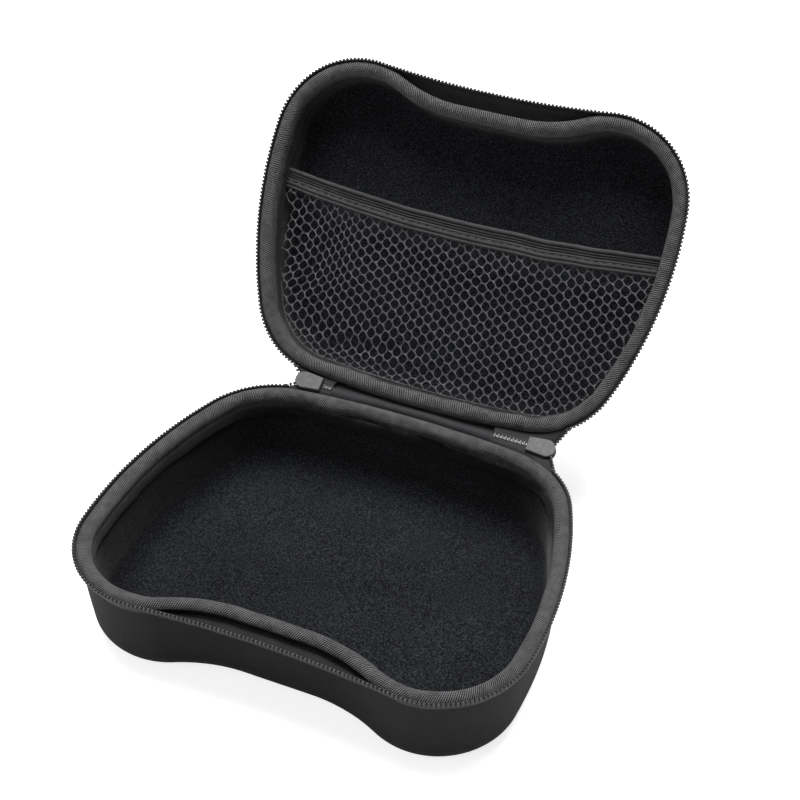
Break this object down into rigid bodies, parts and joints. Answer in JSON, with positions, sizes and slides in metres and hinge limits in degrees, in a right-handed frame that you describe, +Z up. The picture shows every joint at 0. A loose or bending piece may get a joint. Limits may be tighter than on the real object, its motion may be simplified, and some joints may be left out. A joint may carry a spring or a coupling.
{
  "type": "controller carrying case",
  "caption": "Moulded zip case with a kidney outline, standing open: lined base, lid with a net pocket, bound rims, fabric hinge and two-slider zip.",
  "frame": {"origin": "middle of the base's flat underside, below the middle of the rim", "axes": "+X along the hinge to the right seen from the open front, +Y from the waist to the hinge, +Z up; the lid stands open"},
  "size_m": [0.1854, 0.2395, 0.1526],
  "materials": {
    "cover": "fine plain weave",
    "lining": "short pile",
    "ribbon": "ribbed grosgrain",
    "tape": "fine woven tape",
    "hinge_strip": "smooth woven strip",
    "net": "knitted cord net",
    "elastic": "ribbed elastic",
    "teeth": "moulded nylon",
    "slider_metal": "grey enamel"
  },
  "bodies": {
    "base": {"base_shell": "cover", "base_lining": "lining", "base_binding": "ribbon", "base_zip_tape": "tape", "base_zip_teeth": "teeth", "hinge_panel": "hinge_strip"},
    "lid": {"lid_shell": "cover", "lid_lining": "lining", "lid_binding": "ribbon", "lid_zip_tape": "tape", "lid_zip_teeth": "teeth", "pocket_net": "net", "pocket_elastic": "elastic"},
    "left_zip_end": {"left_closed_teeth": "teeth"},
    "right_zip_end": {"right_closed_teeth": "teeth"},
    "left_slider": {"left_slider": "slider_metal"},
    "right_slider": {"right_slider": "slider_metal"},
    "left_pull": {"left_pull": "slider_metal"},
    "right_pull": {"right_pull": "slider_metal"}
  },
  "joints": [
    {"name": "lid_hinge", "type": "hinge", "parent": "base", "child": "lid", "pos_m": [0, 0.0703, 0.0414], "axis": [1, 0, 0], "range_deg": [-33, 127], "deforming": ["hinge_panel"]},
    {"name": "left_end_turn", "type": "hinge", "parent": "base", "child": "left_zip_end", "pos_m": [0, 0.0703, 0.0414], "axis": [1, 0, 0], "range_deg": [-17, 64]},
    {"name": "right_end_turn", "type": "hinge", "parent": "base", "child": "right_zip_end", "pos_m": [0, 0.0703, 0.0414], "axis": [1, 0, 0], "range_deg": [-17, 64]},
    {"name": "left_slide", "type": "slide", "parent": "left_zip_end", "child": "left_slider", "axis": [1, 0, 0], "range_m": [0, 0.0045]},
    {"name": "right_slide", "type": "slide", "parent": "right_zip_end", "child": "right_slider", "axis": [-1, 0, 0], "range_m": [0, 0.013]},
    {"name": "left_pull_swing", "type": "hinge", "parent": "left_slider", "child": "left_pull", "pos_m": [-0.0474, 0.07231, 0.03737], "axis": [1, 0, 0], "range_deg": [-5, 55]},
    {"name": "right_pull_swing", "type": "hinge", "parent": "right_slider", "child": "right_pull", "pos_m": [0.0576, 0.07231, 0.03737], "axis": [1, 0, 0], "range_deg": [-5, 55]}
  ],
  "couplings": [
    {"joint": "left_end_turn", "follows": "lid_hinge", "ratio": 0.5},
    {"joint": "right_end_turn", "follows": "lid_hinge", "ratio": 0.5}
  ]
}
